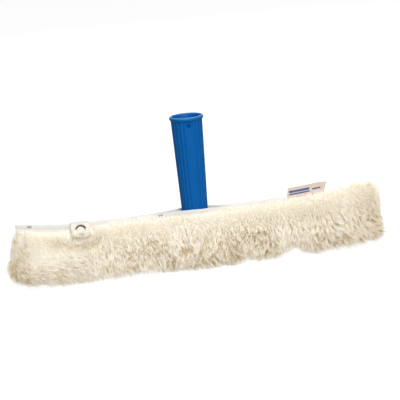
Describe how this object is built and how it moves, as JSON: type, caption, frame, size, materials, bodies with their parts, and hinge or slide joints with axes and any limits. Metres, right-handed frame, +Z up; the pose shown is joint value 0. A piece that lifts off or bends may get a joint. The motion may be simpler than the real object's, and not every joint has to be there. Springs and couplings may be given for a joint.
{
  "type": "window strip washer",
  "caption": "T-bar window washer: a hollow fluted grip on a bar inside a removable fleece sleeve with a slit, a press-stud tab and a sewn label.",
  "frame": {"origin": "under the middle of the sleeve, on the surface that it stands on", "axes": "+Z up the grip, +X along the bar towards the closed end of the sleeve, -Y the front with the press stud"},
  "size_m": [0.369, 0.042, 0.1507],
  "materials": {
    "blue_plastic": "satin moulded, blue",
    "bar_plastic": "moulded, dark grey",
    "fleece": "cream pile",
    "lining_cloth": "plain woven backing",
    "white_tape": "white woven tape",
    "label_cloth": "woven label, cream with a plain blue band",
    "nickel": "nickel plated",
    "steel": "zinc plated"
  },
  "bodies": {
    "washer": {"grip": "blue_plastic", "cross_bar": "bar_plastic", "handle_screw": "steel", "screw_washer": "steel", "screw_nut": "steel", "pile_cover": "fleece", "left_end_gusset": "fleece", "right_end_gusset": "fleece", "sleeve_lining": "lining_cloth", "front_hem_tape": "white_tape", "back_hem_tape": "white_tape", "pocket_seam_tape": "white_tape", "tab_anchor": "white_tape", "stud_patch": "white_tape", "stud_ball": "nickel", "stud_back_plate": "nickel"},
    "tab_bridge": {"tab_bridge": "white_tape"},
    "tab_tip": {"tab_tip": "white_tape", "stud_cap": "nickel", "stud_socket": "nickel"},
    "label_flap": {"label": "label_cloth"}
  },
  "joints": [
    {"name": "tab_lift", "type": "hinge", "parent": "washer", "child": "tab_bridge", "pos_m": [-0.112, 0.003, 0.0596], "axis": [-1, 0, 0], "range_deg": [0, 50]},
    {"name": "tab_open", "type": "hinge", "parent": "tab_bridge", "child": "tab_tip", "pos_m": [-0.112, -0.00624, 0.0596], "axis": [-1, 0, 0], "range_deg": [0, 100]},
    {"name": "label_flex", "type": "hinge", "parent": "washer", "child": "label_flap", "pos_m": [0.10968, 0, 0.05851], "axis": [0.9976, 0, 0.0698], "range_deg": [-35, 35], "stiffness_Nm_per_rad": 0.0002}
  ],
  "couplings": [
    {"joint": "tab_lift", "follows": "tab_open", "ratio": 0.5}
  ]
}
